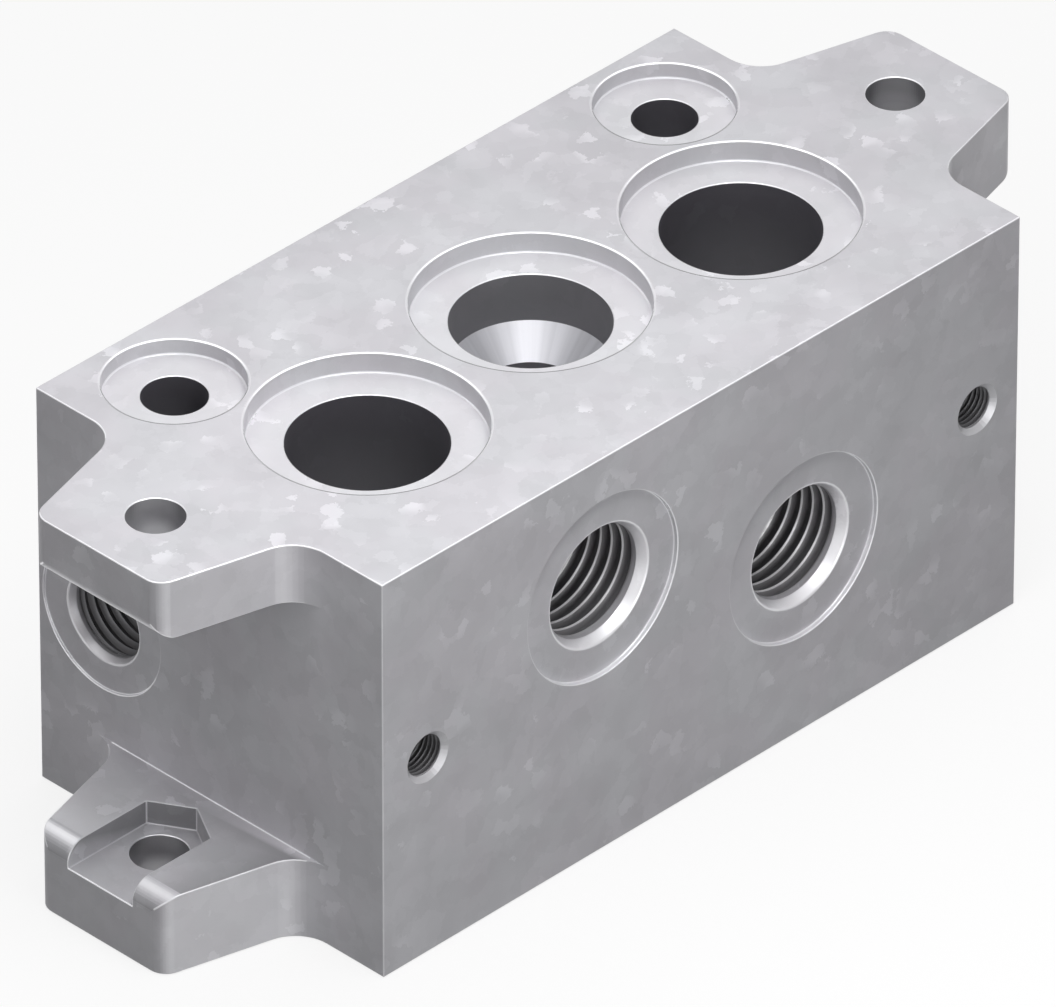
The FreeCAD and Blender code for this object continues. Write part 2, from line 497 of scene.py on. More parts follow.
def turned(name, rings, place, segments):
    """A closed turned body from its rings, with w along the axis."""
    bm = bmesh.new()
    first, last = add_rings(bm, rings, segments)
    cap(bm, first, rings[0][2])
    cap(bm, last, rings[-1][2])
    bm.transform(place)
    return from_bmesh(name, bm)

# Threads

def thread_wave(phase):
    """How far the wall stands out of the minor radius, from 0 at a crest to 1 in the groove."""
    triangle = 1 - abs(2 * (phase % 1.0) - 1)
    return min(1.0, max(0.0, (triangle - crest_share) / flank_share))


def wall_radius(thread, along, start, end, phase):
    """The wall's radius at one place; the groove opens and closes smoothly at the thread's ends."""
    opened = smooth((along - start - groove_start * thread.pitch) / (groove_run_in * thread.pitch))
    fade = opened * smooth((end - along) / thread.pitch)
    return thread.minor + thread.groove * fade * thread_wave(phase)


def wall_finish(thread, along, start, phase):
    """Plainly drilled before the thread, then grooves in a darker finish, a painted shade, between crests
    in a lighter one.
    """
    if along < start + plain_share * thread.pitch:
        return DRILLED
    return GROOVE_SHADE if thread_wave(phase) > groove_threshold else THREAD


def thread_wall(bm, thread, start, end, crest, segments):
    """The helical wall. Its rows follow the thread, one pitch higher after each turn, and are held
    between start and end, where they close onto the flat rings."""
    pitch = thread.pitch
    rows = coarse_rows if pitch > coarse_pitch else fine_rows
    first_row = -2 * rows
    last_row = (math.ceil((end - start) / pitch) + 3) * rows
    first_crest = crest - pitch * math.ceil(crest / pitch)

    def corner(column, row):
        angle = math.tau * column / segments
        along = pitch * (row / rows + column / segments) + first_crest
        along = min(end, max(start, along))
        radius = wall_radius(thread, along, start, end, (along - crest) / pitch - column / segments)
        return bm.verts.new((radius * math.cos(angle), radius * math.sin(angle), along))

    grid = [[corner(column, row) for row in range(first_row, last_row + 1)] for column in range(segments)]
    top = len(grid[0]) - 1
    for column in range(segments):
        for row in range(top):
            if column + 1 < segments:
                near = (grid[column + 1][row], grid[column + 1][row + 1])
            else:
                near = (grid[0][min(row + rows, top)], grid[0][min(row + 1 + rows, top)])
            corners = list(dict.fromkeys([grid[column][row], near[0], near[1], grid[column][row + 1]]))
            places = {tuple(round(value, 5) for value in vert.co) for vert in corners}
            if len(places) > 2:
                face = bm.faces.new(corners)
                along = sum(vert.co.z for vert in corners) / len(corners)
                phase = (along - crest) / pitch - (column + 0.5) / segments
                face.material_index = wall_finish(thread, along, start, phase)
    loose = [vert for vert in bm.verts if not vert.link_faces]
    bmesh.ops.delete(bm, geom=loose, context="VERTS")


def threaded(name, mouth_rings, thread, floor, crest, place, segments, tail):
    """A turned cutter with a right-hand thread between its mouth rings and its tail rings."""
    end = floor + thread.thread_depth
    bm = bmesh.new()
    first = add_rings(bm, mouth_rings, segments)[0]
    cap(bm, first, mouth_rings[0][2])
    thread_wall(bm, thread, floor + thread.chamfer_depth, end, crest, segments)
    last = add_rings(bm, [(end, thread.minor, THREAD)] + tail, segments)[1]
    cap(bm, last, THREAD)
    bm.transform(place)
    return from_bmesh(name, bm)


def drill_tip(end, radius):
    return [(end + radius / math.tan(drill_half_angle), 0, BORE)]


# Holes

def sealed_mouth(seal_radius, seal_depth, bore_radius, wall):
    """A counterbore for a seal ring, with a machined floor, and the rim of the bore below it."""
    rings = painted(mouth(0, seal_radius, seal_rim_radius, seal_rim_spread), MACHINED)
    rings += painted(step_floor(seal_depth, seal_radius, corner_radius), MACHINED)
    return rings + painted(inner_rim(seal_depth, bore_radius, rim_radius), wall)


def waist():
    """The supply channel narrows between two cones of 45 degrees."""
    cone = main_bore_radius - waist_radius
    return [
        (mouth_depth, main_bore_radius, CONE),
        (mouth_depth + cone, waist_radius, BORE),
        (height - mouth_depth - cone, waist_radius, CONE),
        (height - mouth_depth, main_bore_radius, SUPPLY),
    ]


def main_channel(x, y, wall, middle):
    rings = sealed_mouth(main_seal_radius, main_seal_depth, main_bore_radius, wall) + middle
    rings += mirrored(mouth(0, main_bore_radius, rim_radius), height)
    return turned("channel", rings, axes((x, y, height), (0, 0, -1)), main_segments)


def pilot_channel(x):
    rings = sealed_mouth(pilot_seal_radius, pilot_seal_depth, pilot_bore_radius, BORE)
    rings += mirrored(mouth(0, pilot_bore_radius, rim_radius), height)
    return turned("channel", rings, axes((x, pilot_y, height), (0, 0, -1)), pilot_segments)


def channel_cutters():
    return [
        main_channel(-exhaust_x, exhaust_y, BORE, []),
        main_channel(0, 0, SUPPLY, waist()),
        main_channel(exhaust_x, exhaust_y, BORE, []),
        pilot_channel(-pilot_x),
        pilot_channel(pilot_x),
    ]


def blend(before, corner, after, reach, finish, steps=4):
    """Rounds a corner of the rings from that reach before it to that reach after it."""
    rings = []
    for step in range(steps + 1):
        share = step / steps
        point = []
        for axis in (0, 1):
            start = corner[axis] + (before[axis] - corner[axis]) * reach / math.dist(before, corner)
            end = corner[axis] + (after[axis] - corner[axis]) * reach / math.dist(after, corner)
            pulled = 2 * share * (1 - share) * corner[axis]
            point.append((1 - share) ** 2 * start + pulled + share ** 2 * end)
        rings.append((point[0], point[1], finish))
    return rings


def port_mouth(seat_radius, seat_depth, thread):
    """A spot face and a chamfer with rounded edges, down to the thread's minor radius."""
    rings = painted(mouth(0, seat_radius, fine_radius), MACHINED)
    rings += painted(step_floor(seat_depth, seat_radius, fine_radius), CAST)
    outer = (seat_depth, thread.chamfer_radius)
    inner = (seat_depth + thread.chamfer_depth, thread.minor)
    below = (inner[0] + 1, inner[1])
    rings += blend((seat_depth, seat_radius), outer, inner, chamfer_blend, CHAMFER)
    rings += painted(blend(outer, inner, below, chamfer_blend / 2, CHAMFER), DRILLED)
    return rings


def outlet_port(x, z, crest):
    rings = port_mouth(outlet_seat_radius, outlet_seat_depth, G_QUARTER)
    tail = drill_tip(outlet_seat_depth + G_QUARTER.hole_depth, G_QUARTER.minor)
    place = axes((x, -half_width, z), (0, 1, 0))
    return threaded("outlet", rings, G_QUARTER, outlet_seat_depth, crest, place, main_segments, tail)


def pilot_port(side):
    """The port breaks into its pilot channel, and a drilling goes on to the valve's pilot hole."""
    rings = port_mouth(pilot_port_seat_radius, pilot_port_seat_depth, G_EIGHTH)
    floor = pilot_port_seat_depth + G_EIGHTH.hole_depth
    end = half_length - valve_pilot_x + valve_pilot_radius
    tail = [(floor, drilling_radius, BORE), (end, drilling_radius, BORE)]
    place = axes((side * half_length, pilot_y, pilot_port_z), (-side, 0, 0))
    return threaded("pilot_port", rings, G_EIGHTH, pilot_port_seat_depth, pilot_port_crest, place,
                    pilot_segments, tail)


def m5_hole(x, y, z, inward, crest):
    rings = [(-lead, M5.chamfer_radius + lead, CHAMFER), (M5.chamfer_depth, M5.minor, THREAD)]
    tail = [(M5.hole_depth, M5.minor, BORE)] + drill_tip(M5.hole_depth, M5.minor)
    return threaded("fixing", rings, M5, 0, crest, axes((x, y, z), inward), screw_segments, tail)


def port_cutters():
    return [
        outlet_port(-outlet_x, left_outlet_z, left_outlet_crest),
        outlet_port(outlet_x, right_outlet_z, right_outlet_crest),
        pilot_port(-1),
        pilot_port(1),
        m5_hole(left_fixing_x, -half_width, left_fixing_z, (0, 1, 0), left_fixing_crest),
        m5_hole(right_fixing_x, -half_width, right_fixing_z, (0, 1, 0), right_fixing_crest),
    ]


def clamp_cutters():
    """The lugs' clearance holes, with rings on the way down so that their painted shade can change there.
    """
    cutters = []
    for matrix, pocket in lug_places():
        top = nut_pocket_level if pocket else screw_lug_thickness
        rings = painted(mouth(0, clamp_hole_radius, rim_radius), DRILLED)
        rings += [(top * share, clamp_hole_radius, DRILLED) for share in (0.25, 0.5, 0.75)]
        rings += mirrored(mouth(0, clamp_hole_radius, rim_radius), top)
        place = matrix @ Matrix.Translation((clamp_hole_reach, 0, 0))
        cutters.append(turned("clamp_hole", rings, place, clamp_segments))
    return cutters


def slot_outline(grow):
    """The obround of a valve slot, larger all round by that much."""
    straight = slot_half_length - slot_half_width
    radius = slot_half_width + grow
    return arc((0, straight), radius, 0, math.pi) + arc((0, -straight), radius, math.pi, math.pi)


def slot_cutter(x, z, inner_y):
    """An obround passage with a rounded rim, from the valve face inward."""
    bm = bmesh.new()
    steps = painted(mouth(0, 0, rim_radius), BORE) + [(half_width - inner_y, 0, BORE)]
    loops = [[bm.verts.new((u, v, depth)) for u, v in slot_outline(grow)] for depth, grow, finish in steps]
    for index in range(len(loops) - 1):
        strip(bm, loops[index], loops[index + 1], steps[index][2])
    cap(bm, loops[0], EDGE)
    cap(bm, loops[-1], BORE)
    bm.transform(axes((x, half_width, z), (0, -1, 0)))
    return from_bmesh("slot", bm)


def valve_pilot(x):
    rings = painted(mouth(0, valve_pilot_radius, fine_radius), BORE)
    rings += [(half_width - pilot_y, valve_pilot_radius, BORE)]
    return turned("valve_pilot", rings, axes((x, half_width, pilot_port_z), (0, -1, 0)), small_segments)


def valve_cutters():
    """The upper row of slots leads to the outlets, the lower row to the supply and the exhausts."""
    middle = height / 2
    outlet_inner = -half_width + outlet_seat_depth + G_QUARTER.hole_depth - passage_overlap
    cutters = [slot_cutter(0, middle - slot_row_offset, 0)]
    for side in (-1, 1):
        cutters.append(slot_cutter(side * slot_pitch, middle + slot_row_offset, outlet_inner))
        cutters.append(slot_cutter(side * 2 * slot_pitch, middle - slot_row_offset, exhaust_y))
        cutters.append(valve_pilot(side * valve_pilot_x))
        for offset in (-valve_screw_z, valve_screw_z):
            z = middle + offset
            cutters.append(m5_hole(side * valve_screw_x, half_width, z, (0, -1, 0), valve_screw_crest))
    return cutters


# Painted highlight and shade: how bright each face is painted at each of its corners, from -1 for dark, a
# painted shade, to 1 for bright and metallic, a painted highlight.
# The levels follow where the edges and faces in the photograph are brighter or duller.

# How close a face lies to an edge, a rim or a level that it counts as part of
touch = 0.1
rim_touch = 0.3
lug_clearance = 0.5
flush_band = 3

# Painted highlight and shade on the edges of the block and the lugs
slot_end_highlight = 0.6
upright_edge_highlight = 0.12
screw_lug_inner_highlight = 0.75
lug_inner_highlight = 0.32
block_inner_highlight = 0.5
bottom_edge_highlight = 0.1
rear_edge_shade = -0.3
far_lug_edge_highlight = 0.2
front_edge_highlight = 0.5

# Painted highlight and shade on the rims and walls of holes
rim_highlight = 0.85
rim_shade = 0.8
seat_rim_highlight = 0.5
seal_wall_shade = -0.14
end_thread_shade = -0.8
thread_crest_highlight = 0.22
drilled_shade = -0.15
pilot_chamfer_shade = -0.08
clamp_depth_fade = 3.5
clamp_left_shade = 0.74
clamp_right_shade = 1.0

# Painted highlight and shade on the faces of the lugs
screw_tip_highlight = 0.6
nut_tip_rear_highlight = 0.5
nut_tip_front_highlight = 0.36
nut_tip_shade = 0.4
tip_face_shade = -0.08
lower_flank_highlight = 0.24
upper_flank_highlight = 0.14
round_corner_highlight = 0.3
pocket_rear_wall_shade = -0.6
pocket_front_wall_shade = -0.4
pocket_floor_shade = -0.22
nut_face_darkest_shade = -0.6
nut_face_brightest = 0.25
lug_shade = -0.05


def from_middle(point):
    return abs(point.z - height / 2)


def on_lug(point):
    return abs(point.x) > half_length + lug_clearance


def to_front_left(normal):
    return -0.707 * (normal.x + normal.y)


def painted_rim_light(normal):
    """A hole's rim: a painted highlight on the side that faces the front left, a painted shade on the side
    turned away.
    """
    facing = to_front_left(normal)
    bright = rim_highlight * ramp(facing, 0, 0.3) * ramp(normal.z, 0.99, 0.94)
    return bright - rim_shade * ramp(facing, 0, -0.15)


def painted_border_light(centre, normal):
    """The painted highlight or shade on an outer edge of the block or of a lug."""
    flush = from_middle(centre) > height / 2 - flush_band
    if on_lug(centre) and not flush and abs(centre.y) < nut_half_flats + rim_touch:
        at_slot_end = abs(centre.x) > lug_tip_x - rim_touch and abs(normal.y) < 0.5
        return slot_end_highlight if at_slot_end else upright_edge_highlight
    if abs(normal.z) < 0.15:
        return upright_edge_highlight
    if not flush:
        in_screw_lug = from_middle(centre) > height / 2 - screw_lug_thickness - touch
        if on_lug(centre) and in_screw_lug and normal.z < 0:
            return screw_lug_inner_highlight
        return lug_inner_highlight if on_lug(centre) else block_inner_highlight
    if normal.z < 0:
        return bottom_edge_highlight
    if normal.x + normal.y > 0:
        return rear_edge_shade
    return far_lug_edge_highlight if centre.x > half_length + rim_touch else front_edge_highlight


def painted_edge_light(centre, normal):
    """The painted highlight or shade on a rounded edge: of a clamp hole, of an outlet's spot face, of the
    casting or of another hole.
    """
    from_clamp_hole = math.hypot(abs(centre.x) - half_length - clamp_hole_reach, centre.y)
    if from_clamp_hole < clamp_hole_radius + rim_touch:
        return max(0.0, painted_rim_light(normal))
    at_side = abs(centre.y) > half_width - outlet_seat_depth - touch
    at_outlet = at_side and abs(abs(centre.x) - outlet_x) < outlet_seat_radius + rim_touch
    at_outlet = at_outlet and from_middle(centre) < height / 2 - 1
    if at_outlet and abs(normal.z) < 0.99:
        # Painted highlight on the spot face's rim where it turns towards -X
        return seat_rim_highlight * ramp(normal.x - 0.35 * normal.z, 0.45, -0.45)
    if abs(centre.x) > half_length - rim_touch or abs(centre.y) > half_width - rim_touch:
        return painted_border_light(centre, normal)
    return painted_rim_light(normal)


def painted_lug_side_light(azimuth, lower):
    """The painted highlight and shade on a lug's vertical face, by the angle it turns away from the long
    sides: the flanks and the round corners get a painted highlight, and the start of the tip a painted
    shade."""
    if azimuth > 89:
        return tip_face_shade
    flank = lower_flank_highlight if lower else upper_flank_highlight
    bright = flank + (round_corner_highlight - flank) * ramp(azimuth, 18, 30)
    return bright * ramp(azimuth, 66, 32) - 0.14 * ramp(azimuth, 55, 67) * ramp(azimuth, 89, 81)


def painted_lug_tip_light(centre, slope):
    """The painted highlight and shade on the rounded edge of a lug's tip, by its slope. The screw lugs are
    the upper one at -X and the lower one at +X."""
    screw_lug = centre.x * (centre.z - height / 2) < 0
    if screw_lug:
        return screw_tip_highlight * ramp(slope, 86, 48)
    painted_highlight = nut_tip_rear_highlight if centre.y > 0 else nut_tip_front_highlight
    painted_shade = nut_tip_shade * ramp(slope, 45, 65) * ramp(slope, 91, 81)
    return painted_highlight * ramp(slope, 1, 23) * ramp(slope, 54, 30) - painted_shade


def painted_lug_light(centre, normal):
    """The painted highlight and shade on the cast faces of a lug: the pocket's walls and floor are darker,
    and the nut face goes from dark towards -Y to bright towards +Y.
    """
    azimuth = math.degrees(math.acos(min(1.0, abs(normal.y))))
    slope = math.degrees(math.acos(min(1.0, abs(normal.z))))
    upright = slope > 88
    level = slope < 2
    past_pocket_floor = from_middle(centre) < height / 2 - nut_pocket_level + touch
    in_pocket = past_pocket_floor and abs(centre.y) < nut_half_flats + touch
    if upright and in_pocket and abs(centre.x) < lug_tip_x - 2 * touch:
        return pocket_rear_wall_shade if centre.y > 0 else pocket_front_wall_shade
    if upright:
        return painted_lug_side_light(azimuth, centre.z < height / 2)
    if abs(centre.x) > lug_tip_x - lug_edge_radius - touch and slope > 2:
        return painted_lug_tip_light(centre, slope)
    if in_pocket:
        return pocket_floor_shade
    if level and abs(from_middle(centre) - height / 2 + nut_lug_thickness) < touch:
        return max(nut_face_darkest_shade, min(nut_face_brightest, 0.07 * centre.y + 0.05))
    return lug_shade


def painted_chamfer_light(centre, normal):
    """A chamfer: a painted highlight, brightest where it faces the upper left; the small holes' chamfers
    are in painted shade elsewhere, and the pilot ports' chamfers in a slight painted shade.
    """
    if abs(centre.x) > half_length - 2 and from_middle(centre) < 6:
        return pilot_chamfer_shade
    facing = (0.57 * normal.z - 0.82 * normal.x) / math.hypot(normal.x, normal.z)
    towards = ramp(facing, 0.8, 1.0)
    on_outlet = centre.y <= 2 - half_width and abs(centre.x) <= 25
    return 0.16 + 0.26 * towards if on_outlet else 0.5 * towards - 0.4


def painted_clamp_hole_light(centre, normal):
    """A clamp hole's wall with painted shade: darkest below its upper rim, lighter further down and where
    it faces the front left, and darker in the holes at +X.
    """
    upper_end = height if centre.z > height / 2 else nut_pocket_level
    sunk = ramp(centre.z, upper_end, upper_end - clamp_depth_fade)
    hole_shade = clamp_left_shade if centre.x < 0 else clamp_right_shade
    return max(-1.0, 0.3 * ramp(to_front_left(normal), 0.55, 0.95) + 0.85 * sunk - hole_shade)


def painted_light(centre, normal, finish):
    """How bright a place on a face of that finish is painted: above 0 a painted highlight, below 0 a
    painted shade.
    """
    if finish == EDGE:
        return painted_edge_light(centre, normal)
    # Seal walls: painted shade, darker where they face -X
    if finish == MACHINED and abs(normal.z) < 0.3:
        return seal_wall_shade * (1 + ramp(normal.x, 0, -1))
    # Thread crests: painted highlight, and painted shade on the threads near the end faces
    if finish == THREAD:
        near_end_face = abs(centre.x) > half_length - 9 and from_middle(centre) < 5
        return end_thread_shade if near_end_face else thread_crest_highlight
    if finish == CHAMFER:
        return painted_chamfer_light(centre, normal)
    # Clamp holes get their own painted shade; other drilled walls a plain painted shade
    if finish == DRILLED:
        return painted_clamp_hole_light(centre, normal) if on_lug(centre) else drilled_shade
    if finish == CAST and on_lug(centre):
        return painted_lug_light(centre, normal)
    return 0.0


def finish_mesh(body):
    """Stores the painted highlight and shade, shades the mesh smoothly between its sharp edges and turns
    it to metres.
    """
    bm = bmesh.new()
    bm.from_mesh(body.data)
    bmesh.ops.remove_doubles(bm, verts=bm.verts, dist=weld)
    bmesh.ops.triangulate(bm, faces=[face for face in bm.faces if len(face.verts) > 4])
    painted_light_layer = bm.loops.layers.float.new("painted_light")
    for face in bm.faces:
        face.smooth = True
        centre = face.calc_center_median()
        for loop in face.loops:
            place = centre.lerp(loop.vert.co, corner_pull)
            loop[painted_light_layer] = painted_light(place, face.normal, face.material_index)
    for edge in bm.edges:
        edge.smooth = edge.calc_face_angle(0) < sharp_angle
    bm.transform(Matrix.Scale(millimetre, 4))
    bm.to_mesh(body.data)
    bm.free()
    weighted = body.modifiers.new("weighted_normals", "WEIGHTED_NORMAL")
    weighted.keep_sharp = True
    weighted.weight = 100
    body.data = evaluated(body)
    body.modifiers.clear()


# Materials

# Colours of the painted highlight and of the painted shade
painted_highlight_colour = (0.93, 0.93, 0.95, 1)
painted_shade_colour = (0.17, 0.17, 0.18, 1)
# The lighter colour of a bore's wall further down, a painted light
painted_depth_light_colour = (0.3, 0.297, 0.315, 1)
warm_tint = (1.008, 0.995, 1.004, 1)
cool_tint = (0.996, 0.999, 1.0, 1)
# The cone's colours: the dark one for its painted shade and dark streaks, the bright one for its painted
# highlight and bright streaks
cone_shade_and_streak = (0.38, 0.38, 0.41, 1)
cone_highlight_and_streak = (0.9, 0.9, 0.95, 1)

# How far the colour goes down and up by the mottling, as shares of the contrast
darker_share = 0.33
lighter_share = 0.67

# Heights in metres between which a bore's wall turns to its lighter colour further down, a painted light
painted_depth_light_from = 0.042
painted_depth_light_to = 0.022


def add_node(tree, kind, mode=(), **inputs):
    """A new node with its inputs set or linked: _0 is the first input, and in a named one an
    underscore stands for a space."""
    made = tree.nodes.new(kind)
    if mode:
        setattr(made, mode[0], mode[1])
    for name, value in inputs.items():
        socket = made.inputs[int(name[1:])] if name[1:].isdigit() else made.inputs[name.replace("_", " ")]
        if isinstance(value, bpy.types.NodeSocket):
            tree.links.new(value, socket)
        else:
            socket.default_value = value
    return made


def combine_values(tree, operation, first, second):
    return add_node(tree, "ShaderNodeMath", ("operation", operation), _0=first, _1=second).outputs[0]


def remap(tree, value, low, high, to_low=0.0, to_high=1.0):
    """A smooth change from to_low to to_high as the value goes from low to high."""
    made = add_node(tree, "ShaderNodeMapRange", ("interpolation_type", "SMOOTHSTEP"), Value=value,
                    From_Min=low, From_Max=high, To_Min=to_low, To_Max=to_high)
    return made.outputs[0]


def cells(tree, place, scale):
    """A random grey for each of the angular cells."""
    made = add_node(tree, "ShaderNodeTexVoronoi", Vector=place, Scale=scale)
    return add_node(tree, "ShaderNodeSeparateColor", Color=made.outputs["Color"]).outputs[0]


def mottling(tree):
    """Soft clouds and cells of the casting's skin, with a few brighter angular patches where it faces
    up or down, less of them on upright faces. Returns them from 0 to 1, their place, and the hue."""
    place = add_node(tree, "ShaderNodeTexCoord").outputs["Object"]
    wobble = add_node(tree, "ShaderNodeTexNoise", Vector=place, Scale=1000.0, Detail=3.0, Roughness=0.75)
    shift = add_node(tree, "ShaderNodeVectorMath", ("operation", "SUBTRACT"), _0=wobble.outputs["Color"],
                     _1=(0.5, 0.5, 0.5))
    scaled = add_node(tree, "ShaderNodeVectorMath", ("operation", "MULTIPLY"), _0=shift.outputs[0],
                      _1=(0.0016, 0.0016, 0.0016))
    warped = add_node(tree, "ShaderNodeVectorMath", ("operation", "ADD"), _0=place,
                      _1=scaled.outputs[0]).outputs[0]
    clouds = add_node(tree, "ShaderNodeTexNoise", Vector=place, Scale=110.0, Detail=2.0, Roughness=0.6)
    hue = remap(tree, clouds.outputs["Color"], 0.42, 0.58)
    clouds = remap(tree, clouds.outputs[0], 0.3, 0.7, 0.0, 0.26)
    flakes = remap(tree, cells(tree, warped, 300.0), 0.0, 1.0, 0.0, 0.16)
    chips = cells(tree, warped, 620.0)
    fine = remap(tree, chips, 0.0, 0.8, 0.0, 0.10)
    patches = remap(tree, chips, 0.80, 0.96)
    clusters = add_node(tree, "ShaderNodeTexNoise", Vector=place, Scale=190.0, Detail=1.0)
    clusters = remap(tree, clusters.outputs[0], 0.48, 0.62, 0.08, 0.7)
    normal = add_node(tree, "ShaderNodeNewGeometry").outputs["Normal"]
    up = add_node(tree, "ShaderNodeSeparateXYZ", Vector=normal).outputs["Z"]
    up = remap(tree, combine_values(tree, "ABSOLUTE", up, 0.0), 0.0, 1.0, 0.55, 1.0)
    soft = combine_values(tree, "ADD", combine_values(tree, "ADD", clouds, flakes), fine)
    bright = combine_values(tree, "MULTIPLY", combine_values(tree, "MULTIPLY", patches, clusters), up)
    return combine_values(tree, "ADD", soft, bright), place, hue


def blended(tree, share, first, second):
    """A colour between the first and the second one."""
    made = add_node(tree, "ShaderNodeMix", ("data_type", "RGBA"), _0=share, _6=first, _7=second)
    return made.outputs[2]


def finish_material(name, colour, contrast, roughness, specular, metallic=0.0, painted_light_layer=False, painted_depth_light=False):
    """A metal skin whose colour varies by the mottling. One with painted light turns bright and metallic,
    a painted highlight, or dark, a painted shade, where the mesh says so. One with painted depth light
    turns to a lighter colour further down below the upper face, a painted light."""
    made = bpy.data.materials.new(name)
    made.use_nodes = True
    tree = made.node_tree
    shader = tree.nodes["Principled BSDF"]
    spots, place, hue = mottling(tree)
    low = [value * (1 - darker_share * contrast) for value in colour]
    high = [min(1.0, value * (1 + lighter_share * contrast)) for value in colour]
    colour_socket = blended(tree, spots, (*low, 1), (*high, 1))
    tint = blended(tree, hue, warm_tint, cool_tint)
    tinted = add_node(tree, "ShaderNodeVectorMath", ("operation", "MULTIPLY"), _0=colour_socket, _1=tint)
    colour_socket = tinted.outputs[0]
    # Painted light: a bore's wall turns lighter further down
    if painted_depth_light:
        level = add_node(tree, "ShaderNodeSeparateXYZ", Vector=place).outputs["Z"]
        colour_socket = blended(tree, remap(tree, level, painted_depth_light_from, painted_depth_light_to), colour_socket, painted_depth_light_colour)
    if painted_light_layer:
        # Painted highlight and shade from the mesh: above 0 bright and metallic, below 0 dark
        painted_light_value = add_node(tree, "ShaderNodeAttribute", ("attribute_name", "painted_light")).outputs["Fac"]
        painted_highlight = combine_values(tree, "MAXIMUM", painted_light_value, 0.0)
        painted_shade = remap(tree, painted_light_value, -1.0, 0.0, 1.0, 0.0)
        colour_socket = blended(tree, painted_highlight, colour_socket, painted_highlight_colour)
        colour_socket = blended(tree, painted_shade, colour_socket, painted_shade_colour)
        metal = combine_values(tree, "ADD", painted_highlight, metallic)
        tree.links.new(metal, shader.inputs["Metallic"])
    else:
        shader.inputs["Metallic"].default_value = metallic
    tree.links.new(colour_socket, shader.inputs["Base Color"])
    rough = remap(tree, spots, 0.0, 1.0, roughness + 0.04, roughness - 0.08)
    tree.links.new(rough, shader.inputs["Roughness"])
    shader.inputs["Specular IOR Level"].default_value = specular
    grain = add_node(tree, "ShaderNodeTexNoise", Vector=place, Scale=3200.0, Detail=2.0)
    bump = add_node(tree, "ShaderNodeBump", Strength=0.12, Distance=0.00004, Height=grain.outputs[0])
    tree.links.new(bump.outputs[0], shader.inputs["Normal"])
    return made


def cone_material(name):
    """The drilled cone of the supply channel, with bright and dark streaks down its slope, and a painted
    highlight on its side towards +X and +Y with painted shade on the other sides.
    """
    made = bpy.data.materials.new(name)
    made.use_nodes = True
    tree = made.node_tree
    shader = tree.nodes["Principled BSDF"]
    place = add_node(tree, "ShaderNodeTexCoord").outputs["Object"]
    flat = add_node(tree, "ShaderNodeVectorMath", ("operation", "MULTIPLY"), _0=place, _1=(1, 1, 0))
    around = add_node(tree, "ShaderNodeVectorMath", ("operation", "NORMALIZE"), _0=flat.outputs[0])
    streaks = add_node(tree, "ShaderNodeTexNoise", Vector=around.outputs[0], Scale=6.0, Detail=2.0,
                       Roughness=0.6)
    towards = add_node(tree, "ShaderNodeVectorMath", ("operation", "DOT_PRODUCT"), _0=around.outputs[0],
                       _1=(0.707, 0.707, 0))
    # Painted highlight on the side towards +X and +Y, painted shade on the others
    painted_highlight_band = remap(tree, towards.outputs["Value"], 0.7, 1.0, 0.2, 0.8)
    bright = combine_values(tree, "ADD", painted_highlight_band, remap(tree, streaks.outputs[0], 0.35, 0.65, -0.04, 0.1))
    colour = blended(tree, bright, cone_shade_and_streak, cone_highlight_and_streak)
    tree.links.new(colour, shader.inputs["Base Color"])
    shader.inputs["Metallic"].default_value = 0.15
    shader.inputs["Roughness"].default_value = 0.4
    return made


# The finishes in the order of their names at the top
finishes = [
    finish_material("cast", (0.657, 0.653, 0.684), 0.34, 0.5, 0.3, painted_light_layer=True),
    finish_material("machined", (0.735, 0.732, 0.76), 0.26, 0.45, 0.3, painted_light_layer=True),
    finish_material("bore", (0.118, 0.114, 0.13), 0.25, 0.5, 0.3, painted_depth_light=True),
    finish_material("thread", (0.42, 0.416, 0.424), 0.2, 0.38, 0.4, metallic=0.25, painted_light_layer=True),
    # The rounded edges: a lighter finish than the casting's, a painted highlight along them
    finish_material("edge", (0.74, 0.737, 0.765), 0.15, 0.35, 0.4, painted_light_layer=True),
    finish_material("supply", (0.225, 0.223, 0.236), 0.25, 0.5, 0.3, painted_depth_light=True),
    finish_material("chamfer", (0.68, 0.677, 0.70), 0.2, 0.42, 0.7, metallic=0.4, painted_light_layer=True),
    finish_material("drilled", (0.5, 0.495, 0.52), 0.2, 0.45, 0.3, painted_light_layer=True),
    cone_material("cone"),
    # The groove finish: a darker copy of the thread's finish, a painted shade in the thread's grooves
    finish_material("groove", (0.2, 0.197, 0.206), 0.2, 0.4, 0.4, metallic=0.2),
]


# Camera, floor and light, in metres

# The camera as fitted to the photograph's edges
camera_sensor = 36
camera_lens = 725.2
camera_place = Vector((-1.12779, -1.11533, 1.12818))
camera_forward = Vector((0.5829, 0.57664, -0.57246))
camera_roll = math.radians(0.012)
camera_far = 20

floor_half_width = 6
floor_level = -0.0001
floor_glow = 0.82
floor_bounce = 0.1
world_fill = 0.12
white_colour = (1, 1, 1, 1)


def add_camera():
    data = bpy.data.cameras.new("camera")
    data.sensor_width = camera_sensor
    data.lens = camera_lens
    data.clip_end = camera_far
    made = bpy.data.objects.new("camera", data)
    bpy.context.scene.collection.objects.link(made)
    forward = camera_forward.normalized()
    right = forward.cross(Vector((0, 0, 1))).normalized()
    up = right.cross(forward)
    placed = Matrix((right, up, -forward)).transposed().to_4x4()
    placed = placed @ Matrix.Rotation(camera_roll, 4, "Z")
    placed.translation = camera_place
    made.matrix_world = placed
    bpy.context.scene.camera = made


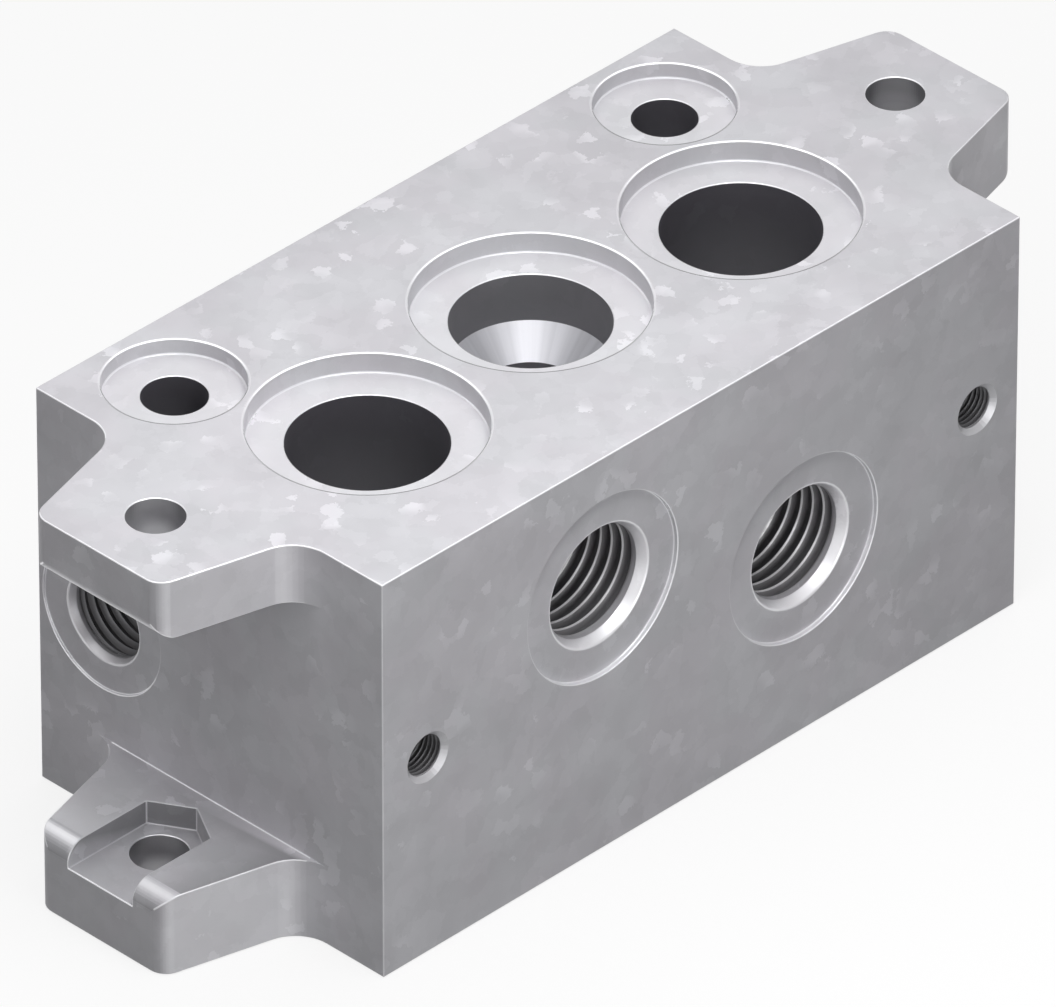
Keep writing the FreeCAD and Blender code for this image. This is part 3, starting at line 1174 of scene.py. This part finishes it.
def seen_directly(tree):
    """1 for camera, glossy and transmission rays, 0 for the others."""
    path = add_node(tree, "ShaderNodeLightPath").outputs
    seen = combine_values(tree, "MAXIMUM", path["Is Camera Ray"], path["Is Glossy Ray"])
    return combine_values(tree, "MAXIMUM", seen, path["Is Transmission Ray"])


def mixed(tree, share, first, second):
    """A shader between the first and the second one."""
    return add_node(tree, "ShaderNodeMixShader", _0=share, _1=first.outputs[0], _2=second.outputs[0])


def add_floor():
    """A floor that is seen nearly white with the object's shadow, and that lights the object little."""
    bm = bmesh.new()
    bmesh.ops.create_grid(bm, x_segments=1, y_segments=1, size=floor_half_width)
    mesh_data = bpy.data.meshes.new("floor")
    bm.to_mesh(mesh_data)
    bm.free()
    floor = bpy.data.objects.new("floor", mesh_data)
    floor.location = (0, 0, floor_level)
    bpy.context.scene.collection.objects.link(floor)
    made = bpy.data.materials.new("floor")
    made.use_nodes = True
    tree = made.node_tree
    tree.nodes.clear()
    lit = add_node(tree, "ShaderNodeBsdfDiffuse", Color=white_colour)
    glow = add_node(tree, "ShaderNodeEmission", Color=white_colour)
    grey = add_node(tree, "ShaderNodeBsdfDiffuse", Color=(floor_bounce, floor_bounce, floor_bounce, 1))
    surface = mixed(tree, seen_directly(tree), grey, mixed(tree, floor_glow, lit, glow))
    add_node(tree, "ShaderNodeOutputMaterial", Surface=surface.outputs[0])
    floor.data.materials.append(made)


def add_world():
    """A world that is seen white and lights the object weakly from all sides."""
    world = bpy.data.worlds.new("studio")
    world.use_nodes = True
    bpy.context.scene.world = world
    tree = world.node_tree
    tree.nodes.clear()
    fill = add_node(tree, "ShaderNodeBackground", Color=white_colour, Strength=world_fill)
    seen = add_node(tree, "ShaderNodeBackground", Color=white_colour)
    surface = mixed(tree, seen_directly(tree), fill, seen)
    add_node(tree, "ShaderNodeOutputWorld", Surface=surface.outputs[0])


def add_sun(name, towards, irradiance, spread):
    """A distant soft lamp; an irradiance of 1 shows a white face that looks straight at it as white."""
    data = bpy.data.lights.new(name, "SUN")
    data.energy = irradiance * math.pi
    data.angle = math.radians(spread)
    made = bpy.data.objects.new(name, data)
    made.rotation_euler = Vector(towards).to_track_quat("Z", "Y").to_euler()
    bpy.context.scene.collection.objects.link(made)


def add_area(name, location, size, irradiance):
    """A round soft lamp aimed at the plate; irradiance is what reaches the plate's middle."""
    data = bpy.data.lights.new(name, "AREA")
    data.shape = "DISK"
    data.size = size
    target = Vector((0, 0, height * millimetre / 2))
    away = Vector(location) - target
    data.energy = irradiance * math.pi * math.pi * away.length_squared
    made = bpy.data.objects.new(name, data)
    made.location = location
    made.rotation_euler = away.to_track_quat("Z", "Y").to_euler()
    bpy.context.scene.collection.objects.link(made)


add_camera()
add_floor()
add_world()
add_sun("overhead", (0.24, 0.26, 1.0), 0.42, 70)
add_area("front", (-0.04, -0.19, 0.04), 0.12, 0.24)
add_area("upper_front", (-0.06, -0.10, 0.36), 0.2, 0.26)
add_area("left", (-0.39, -0.02, 0.08), 0.2, 0.122)
add_area("near_top", (-0.04, -0.045, 0.135), 0.06, 0.175)

body = casting()
round_edges(body)
combine(body, channel_cutters() + port_cutters() + clamp_cutters() + valve_cutters(), "DIFFERENCE")
finish_mesh(body)
body.name = "manifold_plate"
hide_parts("manifold_block")
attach(body, "root")

bpy.context.scene.view_settings.view_transform = "Standard"
